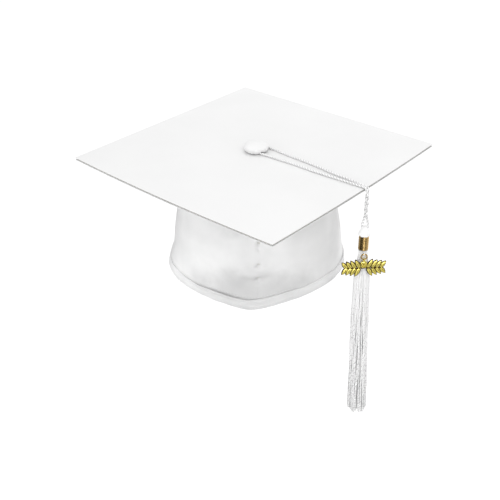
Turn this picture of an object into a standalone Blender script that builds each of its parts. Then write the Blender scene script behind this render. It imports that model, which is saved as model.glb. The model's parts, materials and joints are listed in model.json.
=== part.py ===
"""Graduation cap: a stiff square board on a sewn skull cap, with a covered button,
a looped cord that hangs over one edge, and a tassel with a gold charm.

Metres, +Z up, the cap's front corner towards -Y.  The origin is the centre of the
head opening, in the plane of the crown's lower edge.
"""
import math

import bmesh
import bpy
import numpy as np
from mathutils import Matrix, Vector

GAP = 0.0003                      # clearance between pieces that touch

# Board
BOARD_SIDE = 0.2413               # 9.5 inches
BOARD_TOP = 0.120                 # height of the board's top face over the head opening
COVER_THICK = 0.0005
CORE_THICK = 0.0014
BOARD_THICK = 2 * COVER_THICK + 2 * GAP + CORE_THICK
BOARD_BOTTOM = BOARD_TOP - BOARD_THICK
CORNER_CUT = 0.0016               # how far each corner is blunted along its two edges
BOW_LEFT = 0.0030                 # how far the two front edges curve outwards
BOW_RIGHT = 0.0020
RIVET_HOLE = 0.0019
THROUGH = 0.0020                  # how far a cutter runs past what it cuts
PUCKER_RADIUS = 0.0150            # shallow ring pressed into the top cover round the button
PUCKER_DEPTH = 0.00015

# Crown: an oval tube that flares towards the head opening
CROWN_TOP = BOARD_BOTTOM - GAP
CROWN_HALF_WIDTH_TOP = 0.0762
CROWN_HALF_WIDTH_RIM = 0.0897
FRONT_RATIO = 0.82                # reach to the front over the half width
BACK_RATIO = 1.04                 # and to the back, which the elastic holds round
CROWN_FLARE = 1.9                 # exponent of the flare
CROWN_TURN = -0.027               # the crown is sewn on slightly turned, in radians
CROWN_SHIFT = 0.0030              # and, at the board, this far to +X
FRONT_POINT = 0.0134              # how far the lower edge dips to a point in front
FRONT_POINT_SPREAD = 0.445        # radians
FRONT_POINT_ROUND = 0.14          # radians, how blunt the point is
POINT_TURN = -0.11                # the point lies a little to one side of the seam
FABRIC = 0.0008
STIFFENER = 0.0007
SEAM_HALF_GAP = 0.0022            # radians, half the slit between the two panels
SEAM_FLANGE = 0.0125              # width of the oval seam allowance under the board
TAPE_THICK = 0.0006
TAPE_HALF = 0.045                 # radians, half a seam tape's width
HEM_START = 0.930                 # share of the crown's depth where the hem begins
HEM_GAP = 0.0028                  # the same share, left open above the hem
HEM_OFFSET = 0.0003               # the hem stands this far proud of the panels
HEM_THICK = 0.0014
CASING_EDGE = math.radians(140)   # the elastic casing takes the back, from here round
CASING_SPLIT = 0.002              # radians, between the hem's end and the casing's
CASING_OFFSET = 0.0009
CASING_THICK = 0.0032
TUNNEL_OFFSET = 0.0002            # the channel inside the casing
TUNNEL_THICK = 0.0018
TUNNEL_WALL = 0.007               # share of the crown's depth above and below the channel
ELASTIC_OFFSET = -0.0002
ELASTIC_THICK = 0.0009
ELASTIC_WALL = 0.014
FLANGE_CLEARANCE = 0.004          # share of the depth, stiffener below the seam allowance

# Button, its rivet and washer
BUTTON_RADIUS = 0.0120
BUTTON_MID = BOARD_TOP + 0.0044
BUTTON_RISE = 0.0039
BUTTON_DROP = 0.0020
SHELL_THICK = 0.0005
BACK_PLATE_LOW = BOARD_TOP + 0.0029
BACK_PLATE_RADIUS = 0.0076
BACK_PLATE_THICK = 0.0007
RIVET_BORE = 0.0018
RIVET_SHANK = 0.0015
RIVET_HEAD = 0.0032
RIVET_HEAD_THICK = 0.0008
RIVET_ROUNDING = 0.0005
WASHER_RADIUS = 0.0080
WASHER_THICK = 0.0008

# Cord
CORD_RADIUS = 0.00115
PAIR_RADIUS = 0.00195             # the two strands twisted together
CORD_ALONG = Vector((1, -1, 0)).normalized()    # from the button to the edge it crosses
CORD_ACROSS = Vector((1, 1, 0)).normalized()    # along that edge
CROSSING_OFFSET = 0.0020          # the crossing lies this far past the edge's middle
STRAND_OFFSET = 0.0013            # each strand's centre from the crossing, at the edge
EDGE_DISTANCE = BOARD_SIDE / 2 + BOW_RIGHT
KNUCKLE_RADIUS = 0.0020
KNUCKLE_CROWN = 0.0007            # how far its ends are domed
KNUCKLE_OUT = 0.0028              # its axis, out from the board's edge

# Hanging parts, as depths below the board's top face
AXIS_RISE = 0.0002                # the cord's bending axis, above the board's top face
PAIR_END = 0.0273
SPLIT_END = 0.0364
HEAD_PIVOT = 0.0400
HEAD_BALL = 0.0033
HEAD_END = 0.0455
FERRULE_END = 0.0605
FERRULE_RIBS = 7
FERRULE_RADIUS = 0.0047
FERRULE_GROOVE = 0.0006
FERRULE_BORE = 0.0040
NECK_RADIUS = 0.0036
TASSEL_END = 0.2560
TIE_DEPTH = 0.0613
TIE_RADIUS = 0.0044
TIE_WIRE = 0.0004
EYE_DEPTH = 0.0622
EYE_Y = -0.00615
EYE_RADIUS = 0.0015
EYE_WIRE = 0.00035
CHARM_PIVOT = 0.0624
CHARM_PIVOT_Y = -0.0063
CHARM_TILT = math.radians(6)      # the charm leans out over the flaring fringe
RING_RADIUS = 0.00285
RING_WIRE = 0.0005
CHARM_THICK = 0.0012
DISC_RADIUS = 0.0036
DISC_DROP = 0.0049                # the disc's centre below the bail
BAIL_RADIUS = 0.00135
BAIL_WIRE = 0.00045
STEM_HALF = 0.0173
STEM_HALF_HEIGHT = 0.0006
STEM_Z = -0.0137                  # the stem below the ring's top
LEAF_PAIRS = 4                    # on each side of the disc
LEAF_FIRST = 0.0035
LEAF_STEP = 0.00385
LEAF_LENGTH = 0.0104
LEAF_SHORTER = 0.0006             # each next leaf is this much shorter
LEAF_WIDTH = 0.0038
LEAF_THINNER = 0.03               # share, so that overlapping leaves don't share a plane
LEAF_LEAN = 28                    # degrees, and how much more for each next leaf
LEAF_LEAN_STEP = 4

parts = None
cutters = None


# ---------------------------------------------------------------- scene helpers

def start_scene():
    """Clear the scene and make the two collections."""
    global parts, cutters
    for old in list(bpy.data.objects):
        bpy.data.objects.remove(old)
    parts = bpy.data.collections.new("graduation_cap")
    cutters = bpy.data.collections.new("cutters")
    bpy.context.scene.collection.children.link(parts)
    bpy.context.scene.collection.children.link(cutters)


def make_material(name, colour, roughness, metallic=0.0):
    """A plain Principled material."""
    material = bpy.data.materials.new(name)
    material.use_nodes = True
    shader = material.node_tree.nodes["Principled BSDF"]
    shader.inputs["Base Color"].default_value = (*colour, 1.0)
    shader.inputs["Roughness"].default_value = roughness
    shader.inputs["Metallic"].default_value = metallic
    return material


def place(obj, material, parent=None, cutter=False):
    """Put an object in its collection, with its material and parent."""
    collection = cutters if cutter else parts
    for old in list(obj.users_collection):
        old.objects.unlink(obj)
    collection.objects.link(obj)
    if cutter:
        obj.hide_render = True
        obj.display_type = "WIRE"
    if material:
        obj.data.materials.clear()
        obj.data.materials.append(material)
    if parent:
        obj.parent = parent
    return obj


def make_empty(name, location, parent=None, rotation=(0, 0, 0)):
    """A joint's frame: an empty on the joint's axis."""
    empty = bpy.data.objects.new(name, None)
    empty.empty_display_size = 0.01
    empty.location = location
    empty.rotation_euler = rotation
    parts.objects.link(empty)
    if parent:
        empty.parent = parent
    return empty


def mesh_object(name, bm, material, parent=None, cutter=False, smooth=True):
    """Turn a bmesh into a placed object."""
    mesh = bpy.data.meshes.new(name)
    bm.to_mesh(mesh)
    bm.free()
    if smooth:
        mesh.shade_smooth()
        mesh.set_sharp_from_angle(angle=math.radians(35))
    obj = bpy.data.objects.new(name, mesh)
    return place(obj, material, parent, cutter)


def boolean(obj, other, operation="DIFFERENCE"):
    """Cut an object by another, or join the other to it."""
    modifier = obj.modifiers.new(other.name, "BOOLEAN")
    modifier.operation = operation
    modifier.solver = "EXACT"
    modifier.object = other


def solidify(obj, thickness):
    """Thicken an open surface inwards."""
    modifier = obj.modifiers.new("thickness", "SOLIDIFY")
    modifier.thickness = thickness
    modifier.offset = -1.0
    modifier.use_even_offset = True


# ---------------------------------------------------------------- shape helpers

def turned(name, profile, material, steps=32, parent=None, closed=False):
    """A turned piece: the profile is (radius, height), outer side running downwards."""
    bm = bmesh.new()
    verts = [bm.verts.new((r, 0, z)) for r, z in profile]
    pairs = list(zip(verts, verts[1:]))
    if closed:
        pairs.append((verts[-1], verts[0]))
    for a, b in pairs:
        bm.edges.new((a, b))
    obj = mesh_object(name, bm, material, parent, smooth=False)
    screw = obj.modifiers.new("turn", "SCREW")
    screw.axis = "Z"
    screw.angle = 2 * math.pi
    screw.steps = steps
    screw.render_steps = steps
    screw.use_merge_vertices = True
    screw.merge_threshold = 0.00001
    screw.use_smooth_shade = True
    return obj


def ring_profile(r_in, r_out, z_low, z_high):
    """The closed profile of a plain ring."""
    return [(r_out, z_high), (r_out, z_low), (r_in, z_low), (r_in, z_high)]


def cylinder_cutter(name, radius, z_low, z_high, segments=24):
    """An upright cylinder for cutting, centred on the Z axis."""
    bm = bmesh.new()
    bmesh.ops.create_cone(bm, cap_ends=True, segments=segments, radius1=radius,
                          radius2=radius, depth=z_high - z_low)
    bmesh.ops.translate(bm, verts=bm.verts, vec=(0, 0, (z_low + z_high) / 2))
    return mesh_object(name, bm, None, cutter=True)


def plate(name, outline, z_low, z_high, material, cutter=False):
    """A flat plate from an outline, made as a filled 2D curve and then a mesh."""
    curve = bpy.data.curves.new(name + "_outline", "CURVE")
    curve.dimensions = "2D"
    curve.fill_mode = "BOTH"
    curve.extrude = (z_high - z_low) / 2
    spline = curve.splines.new("POLY")
    spline.points.add(len(outline) - 1)
    for point, (x, y) in zip(spline.points, outline):
        point.co = (x, y, 0, 1)
    spline.use_cyclic_u = True
    flat = bpy.data.objects.new(name + "_outline", curve)
    flat.location = (0, 0, (z_low + z_high) / 2)
    bpy.context.scene.collection.objects.link(flat)
    bpy.context.view_layer.update()
    mesh = bpy.data.meshes.new_from_object(flat.evaluated_get(bpy.context.evaluated_depsgraph_get()))
    mesh.transform(flat.matrix_world)
    bpy.data.objects.remove(flat)
    bm = bmesh.new()
    bm.from_mesh(mesh)
    bmesh.ops.remove_doubles(bm, verts=bm.verts, dist=0.000001)
    return mesh_object(name, bm, material, cutter=cutter, smooth=False)


def tube(name, points, radius, material, parent=None):
    """A round cord or wire along points, with closed ends."""
    curve = bpy.data.curves.new(name, "CURVE")
    curve.dimensions = "3D"
    curve.bevel_depth = radius
    curve.bevel_resolution = 2
    curve.use_fill_caps = True
    spline = curve.splines.new("POLY")
    spline.points.add(len(points) - 1)
    for point, co in zip(spline.points, points):
        point.co = (*co, 1)
    obj = bpy.data.objects.new(name, curve)
    return place(obj, material, parent)


def smooth_route(stops, spacing):
    """Evenly spaced points on a smooth curve through the stops (Catmull-Rom)."""
    stops = [np.array(s, dtype=float) for s in stops]
    ends = [2 * stops[0] - stops[1]] + stops + [2 * stops[-1] - stops[-2]]
    dense = []
    for a, b, c, d in zip(ends, ends[1:], ends[2:], ends[3:]):
        for t in np.linspace(0, 1, 24, endpoint=False):
            dense.append(0.5 * (2 * b + (c - a) * t + (2 * a - 5 * b + 4 * c - d) * t ** 2
                                + (3 * b - a - 3 * c + d) * t ** 3))
    dense.append(stops[-1])
    dense = np.array(dense)
    lengths = np.concatenate([[0], np.cumsum(np.linalg.norm(np.diff(dense, axis=0), axis=1))])
    count = max(2, round(lengths[-1] / spacing) + 1)
    places = np.linspace(0, lengths[-1], count)
    return [tuple(np.interp(places, lengths, dense[:, k])[i] for k in range(3))
            for i in range(count)]


# ---------------------------------------------------------------- board

def board_outline(inset=0.0, steps=10):
    """The board seen from above: a square on its corner, its front edges bowed out."""
    reach = BOARD_SIDE / math.sqrt(2) - inset * math.sqrt(2)
    left, front = Vector((-reach, 0)), Vector((0, -reach))
    right, back = Vector((reach, 0)), Vector((0, reach))
    edges = ((left, front, BOW_LEFT), (front, right, BOW_RIGHT), (right, back, 0), (back, left, 0))
    cut = CORNER_CUT / BOARD_SIDE
    outline = []
    for start, end, bow in edges:
        outward = ((start + end) / 2).normalized()
        count = steps if bow else 1
        for i in range(count + 1):
            t = cut + (1 - 2 * cut) * i / count
            outline.append(start.lerp(end, t) + outward * bow * 4 * t * (1 - t))
    return outline


def make_board(card, satin):
    """The card core between two fabric covers; the top cover wraps the edge."""
    hole = cylinder_cutter("rivet_hole", RIVET_HOLE, BOARD_BOTTOM - THROUGH, BOARD_TOP + THROUGH)
    side_wrap = COVER_THICK + GAP
    core_low = BOARD_BOTTOM + COVER_THICK + GAP
    core = plate("board_core", board_outline(side_wrap), core_low, core_low + CORE_THICK, card)
    boolean(core, hole)

    bottom = plate("board_bottom_cover", board_outline(side_wrap), BOARD_BOTTOM,
                   BOARD_BOTTOM + COVER_THICK, satin)
    boolean(bottom, hole)

    top = plate("board_top_cover", board_outline(), BOARD_BOTTOM, BOARD_TOP, satin)
    inside = plate("board_pocket", board_outline(COVER_THICK), BOARD_BOTTOM - THROUGH,
                   BOARD_TOP - COVER_THICK, None, cutter=True)
    pucker = cylinder_cutter("button_pucker", PUCKER_RADIUS, BOARD_TOP - PUCKER_DEPTH,
                             BOARD_TOP + THROUGH, segments=40)
    for cutter in (inside, hole, pucker):
        boolean(top, cutter)


# ---------------------------------------------------------------- crown

def rim_height(phi):
    """Height of the crown's lower edge; phi is 0 at the front seam, positive to +X."""
    away = math.hypot(phi - POINT_TURN, FRONT_POINT_ROUND) - FRONT_POINT_ROUND
    return -FRONT_POINT * math.exp(-away / FRONT_POINT_SPREAD)


def crown_point(phi, depth, offset=0.0):
    """A point on the crown, depth 0 at the board and 1 at the lower edge."""
    half_width = CROWN_HALF_WIDTH_TOP
    half_width += (CROWN_HALF_WIDTH_RIM - CROWN_HALF_WIDTH_TOP) * depth ** CROWN_FLARE
    reach = half_width * (FRONT_RATIO if math.cos(phi) > 0 else BACK_RATIO)
    across = (half_width + offset) * math.sin(phi) + CROWN_SHIFT * (1 - depth)
    along = -(reach + offset) * math.cos(phi)
    wrapped = math.atan2(math.sin(phi), math.cos(phi))
    height = CROWN_TOP + (rim_height(wrapped) - CROWN_TOP) * depth
    return (across * math.cos(CROWN_TURN) - along * math.sin(CROWN_TURN),
            across * math.sin(CROWN_TURN) + along * math.cos(CROWN_TURN), height)


def crown_band(name, phis, depths, offset, thickness, material, cutter=False):
    """A piece of the crown's wall between two angles and two depths."""
    bm = bmesh.new()
    rows = [[bm.verts.new(crown_point(phi, depth, offset)) for phi in phis] for depth in depths]
    for upper, lower in zip(rows, rows[1:]):
        for i in range(len(phis) - 1):
            bm.faces.new((upper[i], lower[i], lower[i + 1], upper[i + 1]))
    obj = mesh_object(name, bm, material, cutter=cutter)
    solidify(obj, thickness)
    return obj


def flange(name, z_low, z_high, outer, inner, material, steps=48):
    """A flat oval ring under the board."""
    bm = bmesh.new()
    loops = []
    for inset, z in ((outer, z_high), (outer, z_low), (inner, z_low), (inner, z_high)):
        loop = []
        for i in range(steps):
            phi = 2 * math.pi * i / steps
            x, y, _ = crown_point(phi, 0.0, -inset)
            loop.append(bm.verts.new((x, y, z)))
        loops.append(loop)
    for k in range(4):
        upper, lower = loops[k], loops[(k + 1) % 4]
        for i in range(steps):
            j = (i + 1) % steps
            bm.faces.new((upper[i], lower[i], lower[j], upper[j]))
    return mesh_object(name, bm, material)


def make_panels(satin, buckram):
    """The two fabric panels and the stiffeners behind them."""
    wall_end = HEM_START - HEM_GAP
    clear_of_flange = (FABRIC + GAP) / CROWN_TOP + FLANGE_CLEARANCE
    wall_depths = np.linspace(0.0, wall_end, 7)
    stiff_depths = np.linspace(clear_of_flange, wall_end, 6)
    wall_phis = np.linspace(SEAM_HALF_GAP, math.pi - SEAM_HALF_GAP, 27)
    stiff_phis = np.linspace(2 * SEAM_HALF_GAP, math.pi - 2 * SEAM_HALF_GAP, 21)
    for side, sign in (("right", 1), ("left", -1)):
        crown_band("crown_panel_" + side, sorted(sign * wall_phis), wall_depths, 0.0,
                   FABRIC, satin)
        crown_band("crown_stiffener_" + side, sorted(sign * stiff_phis), stiff_depths,
                   -(FABRIC + GAP), STIFFENER, buckram)
    for name, middle in (("front_seam_tape", 0.0), ("back_seam_tape", math.pi)):
        phis = np.linspace(middle - TAPE_HALF, middle + TAPE_HALF, 5)
        crown_band(name, phis, stiff_depths, -(FABRIC + STIFFENER + 2 * GAP), TAPE_THICK, satin)


def make_rim(satin, elastic):
    """The folded hem round the front and sides, the casing at the back and its elastic."""
    depths = (HEM_START, (HEM_START + 1) / 2, 1.0)
    hem_end = CASING_EDGE - CASING_SPLIT
    crown_band("hem_band", np.linspace(-hem_end, hem_end, 41), depths, HEM_OFFSET, HEM_THICK, satin)

    start, end = CASING_EDGE + CASING_SPLIT, 2 * math.pi - CASING_EDGE - CASING_SPLIT
    phis = np.linspace(start, end, 15)
    casing = crown_band("elastic_casing", phis, depths, CASING_OFFSET, CASING_THICK, satin)
    tunnel_phis = np.linspace(start - TAPE_HALF, end + TAPE_HALF, 17)
    tunnel = crown_band("casing_tunnel", tunnel_phis, (HEM_START + TUNNEL_WALL, 1 - TUNNEL_WALL),
                        TUNNEL_OFFSET, TUNNEL_THICK, None, cutter=True)
    boolean(casing, tunnel)
    crown_band("elastic_band", phis, (HEM_START + ELASTIC_WALL, 1 - ELASTIC_WALL),
               ELASTIC_OFFSET, ELASTIC_THICK, elastic)


# ---------------------------------------------------------------- button

def dome_arc(radius, rise, drop, low_angle, steps=6):
    """Points from the crown of a button down and round under its edge."""
    points = []
    for i in range(steps + 1):
        angle = math.pi / 2 + (low_angle - math.pi / 2) * i / steps
        height = rise if angle > 0 else drop
        points.append((max(0.0, radius * math.cos(angle)), BUTTON_MID + height * math.sin(angle)))
    points[0] = (0.0, points[0][1])
    return points


def hollow_dome(name, step, thickness, low_angle, steps, material, around):
    """A domed shell, its outside set in from the button's outline by a step."""
    outer, inner = [dome_arc(BUTTON_RADIUS - inset, BUTTON_RISE - inset, BUTTON_DROP - inset,
                             low_angle, steps) for inset in (step, step + thickness)]
    turned(name, outer + inner[::-1], material, steps=around)


def make_button(satin, metal):
    """A covered button: fabric over a shell, closed by a back plate, riveted through."""
    hollow_dome("button_cover", 0.0, COVER_THICK, math.radians(-45), 8, satin, 32)
    hollow_dome("button_shell", COVER_THICK + GAP, SHELL_THICK, math.radians(-30), 6, metal, 24)
    turned("button_back_plate", ring_profile(RIVET_BORE, BACK_PLATE_RADIUS, BACK_PLATE_LOW,
                                             BACK_PLATE_LOW + BACK_PLATE_THICK), metal, closed=True)

    head_low = BACK_PLATE_LOW + BACK_PLATE_THICK + GAP
    head_high = head_low + RIVET_HEAD_THICK
    washer_high = BOARD_BOTTOM - GAP
    washer_low = washer_high - WASHER_THICK
    foot_high = washer_low - GAP
    foot_low = foot_high - RIVET_HEAD_THICK
    rivet = [(0, head_high), (RIVET_HEAD * 0.75, head_high - 0.0001),
             (RIVET_HEAD, head_high - RIVET_ROUNDING), (RIVET_HEAD, head_low),
             (RIVET_SHANK, head_low), (RIVET_SHANK, foot_high), (RIVET_HEAD, foot_high),
             (RIVET_HEAD, foot_low + RIVET_ROUNDING),
             (RIVET_HEAD * 0.7, foot_low), (0, foot_low)]
    turned("button_rivet", rivet, metal, steps=24)
    turned("rivet_washer", ring_profile(RIVET_BORE, WASHER_RADIUS, washer_low, washer_high),
           metal, closed=True)


# ---------------------------------------------------------------- cord

def on_board(along, across, height=GAP + CORD_RADIUS):
    """A point over the board, in the cord's own directions."""
    spot = CORD_ALONG * along + CORD_ACROSS * across
    return (spot.x, spot.y, BOARD_TOP + height)


def make_cord_loop(white):
    """One cord from the edge, round the rivet under the button, and back to the edge."""
    end = EDGE_DISTANCE + 0.0005
    near, far = CROSSING_OFFSET - STRAND_OFFSET, CROSSING_OFFSET + STRAND_OFFSET
    stops = [
        on_board(end, near),
        on_board(end - 0.006, near - 0.0001),
        on_board(0.100, -0.0004),
        on_board(0.074, -0.0019),
        on_board(0.048, -0.0023),
        on_board(0.022, -0.0037),
        on_board(0.004, -0.0043),
        on_board(-0.0050, -0.0028),
        on_board(-0.0080, 0.0018),
        on_board(-0.0062, 0.0068),
        on_board(0.0006, 0.0102),
        on_board(0.012, 0.0107),
        on_board(0.036, 0.0092),
        on_board(0.062, 0.0082),
        on_board(0.086, 0.0058),
        on_board(0.104, 0.0049),
        on_board(end - 0.006, far + 0.0003),
        on_board(end, far),
    ]
    tube("cord_loop", smooth_route(stops, 0.0052), CORD_RADIUS, white)


def make_hanging_cord(white, frame):
    """The bend over the edge, the twisted pair and the two short ends below it."""
    half = KNUCKLE_RADIUS + KNUCKLE_CROWN
    bend = turned("cord_bend", [(0, half), (KNUCKLE_RADIUS * 0.7, half - 0.0001),
                                (KNUCKLE_RADIUS, KNUCKLE_RADIUS), (KNUCKLE_RADIUS, -KNUCKLE_RADIUS),
                                (KNUCKLE_RADIUS * 0.7, 0.0001 - half), (0, -half)],
                  white, steps=16, parent=frame)
    bend.rotation_euler = CORD_ACROSS.to_track_quat("Z", "Y").to_euler()

    top = -(KNUCKLE_RADIUS + GAP)
    pair_end = -(PAIR_END + AXIS_RISE)
    split_end = -(SPLIT_END + AXIS_RISE)
    stops = [(0, 0, top), (0.0001, 0, top * 0.7 + pair_end * 0.3),
             (-0.0002, 0, top * 0.35 + pair_end * 0.65), (0, 0, pair_end)]
    tube("cord_twisted_pair", smooth_route(stops, 0.0042), PAIR_RADIUS, white, frame)

    start = pair_end - GAP
    for side, sign in (("left", -1), ("right", 1)):
        stops = [(sign * 0.00135, 0, start), (sign * 0.00165, 0, start * 0.7 + split_end * 0.3),
                 (sign * 0.00240, 0, start * 0.3 + split_end * 0.7), (sign * 0.00275, 0, split_end)]
        tube("cord_end_" + side, smooth_route(stops, 0.0024), CORD_RADIUS, white, frame)


# ---------------------------------------------------------------- tassel

def below_pivot(radius, depth):
    """A profile point in the tassel's own frame, from its depth below the board."""
    return (radius, HEAD_PIVOT - depth)


def make_head(white, frame):
    """The bulb over the ferrule, its top a ball round the joint."""
    profile = []
    steps = 6
    for i in range(steps + 1):
        angle = math.radians(90 - 81 * i / steps)
        profile.append((HEAD_BALL * math.cos(angle), HEAD_BALL * math.sin(angle)))
    profile[0] = (0.0, HEAD_BALL)
    profile += [(0.0041, -0.0003), (0.0049, -0.0014), (0.0053, -0.0030), (0.0051, -0.0044),
                below_pivot(0.0045, HEAD_END), below_pivot(0, HEAD_END)]
    turned("tassel_head", profile, white, parent=frame)


def make_ferrule(gold, frame):
    """The ribbed metal sleeve."""
    start = HEAD_END + GAP
    pitch = (FERRULE_END - start) / FERRULE_RIBS
    profile = []
    for i in range(FERRULE_RIBS):
        top = start + pitch * i
        profile += [below_pivot(FERRULE_RADIUS - FERRULE_GROOVE, top),
                    below_pivot(FERRULE_RADIUS, top + 0.25 * pitch),
                    below_pivot(FERRULE_RADIUS, top + 0.70 * pitch)]
    profile += [below_pivot(FERRULE_RADIUS - FERRULE_GROOVE, FERRULE_END),
                below_pivot(FERRULE_BORE, FERRULE_END), below_pivot(FERRULE_BORE, start)]
    turned("tassel_ferrule", profile, gold, steps=28, parent=frame, closed=True)


def make_fringe(fringe, frame):
    """The bundle of threads: a neck in the ferrule that opens out below it."""
    top = HEAD_END + GAP + 0.0002
    outline = ((NECK_RADIUS, top), (NECK_RADIUS, 0.0602), (0.0038, 0.0618), (0.0040, 0.0636),
               (0.0043, 0.0668), (0.0048, 0.0705), (0.0059, 0.0765), (0.0068, 0.0840),
               (0.0074, 0.0920), (0.0077, 0.1000), (0.0081, 0.1250), (0.0087, 0.1800),
               (0.0096, TASSEL_END))
    profile = [below_pivot(radius, depth) for radius, depth in outline]
    turned("tassel_fringe", [below_pivot(0, top)] + profile + [below_pivot(0, TASSEL_END)],
           fringe, parent=frame)


def make_tassel(white, gold, fringe, frame):
    """Head, ribbed ferrule, fringe and the thread that carries the charm."""
    make_head(white, frame)
    make_ferrule(gold, frame)
    make_fringe(fringe, frame)
    tie = torus("charm_thread", TIE_RADIUS, TIE_WIRE, (0, 0, HEAD_PIVOT - TIE_DEPTH), (0, 0, 0),
                white, frame, segments=32)
    eye = torus("charm_thread_eye", EYE_RADIUS, EYE_WIRE, (0, EYE_Y, HEAD_PIVOT - EYE_DEPTH),
                (0, math.radians(90), 0), None, frame, segments=20, cutter=True)
    boolean(tie, eye, "UNION")


def torus(name, major, minor, location, rotation, material, parent, segments=24, cutter=False):
    """A ring of round wire, about its own Z axis."""
    bpy.ops.mesh.primitive_torus_add(major_segments=segments, minor_segments=8,
                                     major_radius=major, minor_radius=minor)
    obj = bpy.context.active_object
    obj.name = name
    obj.data.name = name
    obj.data.shade_smooth()
    obj.location = location
    obj.rotation_euler = rotation
    return place(obj, material, parent, cutter)


# ---------------------------------------------------------------- charm

def leaf_blade(index, x, z, angle, length, parent):
    """One flat leaf, its foot on the stem, to be joined to the charm."""
    bm = bmesh.new()
    bmesh.ops.create_cone(bm, cap_ends=True, segments=12, radius1=0.5, radius2=0.5, depth=1.0)
    thickness = CHARM_THICK * (0.94 - LEAF_THINNER * (index % 4))
    bmesh.ops.scale(bm, verts=bm.verts, vec=(length, LEAF_WIDTH, thickness))
    bmesh.ops.translate(bm, verts=bm.verts, vec=(length * 0.42, 0, 0))
    turn = Matrix.Rotation(math.radians(90), 4, "X") @ Matrix.Rotation(angle, 4, "Z")
    bmesh.ops.transform(bm, matrix=turn, verts=bm.verts)
    bmesh.ops.translate(bm, verts=bm.verts, vec=(x, 0, z))
    return mesh_object("leaf_%02d" % index, bm, None, parent, cutter=True, smooth=False)


def make_charm(gold, frame):
    """An openwork laurel spray on a jump ring; the frame's origin is the ring's top wire."""
    upright = (math.radians(90), 0, 0)
    torus("jump_ring", RING_RADIUS, RING_WIRE, (0, 0, -RING_RADIUS), upright, gold, frame)

    bail_z = -2 * RING_RADIUS
    bm = bmesh.new()
    bmesh.ops.create_cone(bm, cap_ends=True, segments=20, radius1=DISC_RADIUS,
                          radius2=DISC_RADIUS, depth=CHARM_THICK * 1.06)
    bmesh.ops.rotate(bm, verts=bm.verts, matrix=Matrix.Rotation(math.radians(90), 3, "X"))
    bmesh.ops.translate(bm, verts=bm.verts, vec=(0, 0, bail_z - DISC_DROP))
    charm = mesh_object("laurel_charm", bm, gold, frame, smooth=False)

    bail = torus("charm_bail", BAIL_RADIUS, BAIL_WIRE, (0, 0, bail_z), (0, math.radians(90), 0),
                 None, frame, segments=16, cutter=True)
    boolean(charm, bail, "UNION")

    corners = ((-1, -1), (1, -1), (1, 1), (-1, 1))
    stem = plate("charm_stem", [(x * STEM_HALF, y * STEM_HALF_HEIGHT) for x, y in corners],
                 -CHARM_THICK / 2, CHARM_THICK / 2, None, cutter=True)
    stem.parent = frame
    stem.location = (0, 0, STEM_Z)
    stem.rotation_euler = upright
    boolean(charm, stem, "UNION")

    index = 0
    for sign in (-1, 1):
        for k in range(LEAF_PAIRS):
            x = sign * (LEAF_FIRST + LEAF_STEP * k)
            lean = math.radians(90 - sign * (LEAF_LEAN + LEAF_LEAN_STEP * k))
            for half in (-1, 1):
                leaf = leaf_blade(index, x, STEM_Z + half * 0.0002, half * lean,
                                  LEAF_LENGTH - LEAF_SHORTER * k, parent=frame)
                boolean(charm, leaf, "UNION")
                index += 1


# ---------------------------------------------------------------- whole object

def main():
    """Build every sub-part."""
    start_scene()
    satin = make_material("white_satin", (0.86, 0.86, 0.87), 0.45)
    card = make_material("grey_card", (0.46, 0.45, 0.43), 0.9)
    buckram = make_material("buckram", (0.80, 0.79, 0.76), 0.85)
    elastic = make_material("elastic", (0.78, 0.78, 0.78), 0.8)
    metal = make_material("button_metal", (0.62, 0.62, 0.63), 0.35, 1.0)
    gold = make_material("antique_gold", (0.78, 0.58, 0.20), 0.3, 1.0)
    white = make_material("white_cord", (0.88, 0.88, 0.88), 0.6)
    fringe = make_material("white_fringe", (0.90, 0.90, 0.90), 0.5)

    make_board(card, satin)
    flange("crown_top_seam", CROWN_TOP - FABRIC, CROWN_TOP, FABRIC + GAP, SEAM_FLANGE, satin)
    make_panels(satin, buckram)
    make_rim(satin, elastic)
    make_button(satin, metal)
    make_cord_loop(white)

    crossing = CORD_ALONG * (EDGE_DISTANCE + KNUCKLE_OUT) + CORD_ACROSS * CROSSING_OFFSET
    swing = make_empty("cord_swing_axis", (crossing.x, crossing.y, BOARD_TOP + AXIS_RISE))
    make_hanging_cord(white, swing)
    sway = make_empty("tassel_sway_axis", (0, 0, -(HEAD_PIVOT + AXIS_RISE)), swing)
    make_tassel(white, gold, fringe, sway)
    charm_axis = make_empty("charm_swing_axis", (0, CHARM_PIVOT_Y, HEAD_PIVOT - CHARM_PIVOT), sway,
                            (-CHARM_TILT, 0, 0))
    make_charm(gold, charm_axis)


main()
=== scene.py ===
"""The looks of the graduation cap: satin board and crown, covered button, rope cord,
thread fringe, antique gold ferrule and laurel charm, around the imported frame.
"""
import json
from math import atan2, cos, exp, hypot, pi, radians, sin

import bpy
import numpy as np
from mathutils import Matrix, Vector, noise


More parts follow.
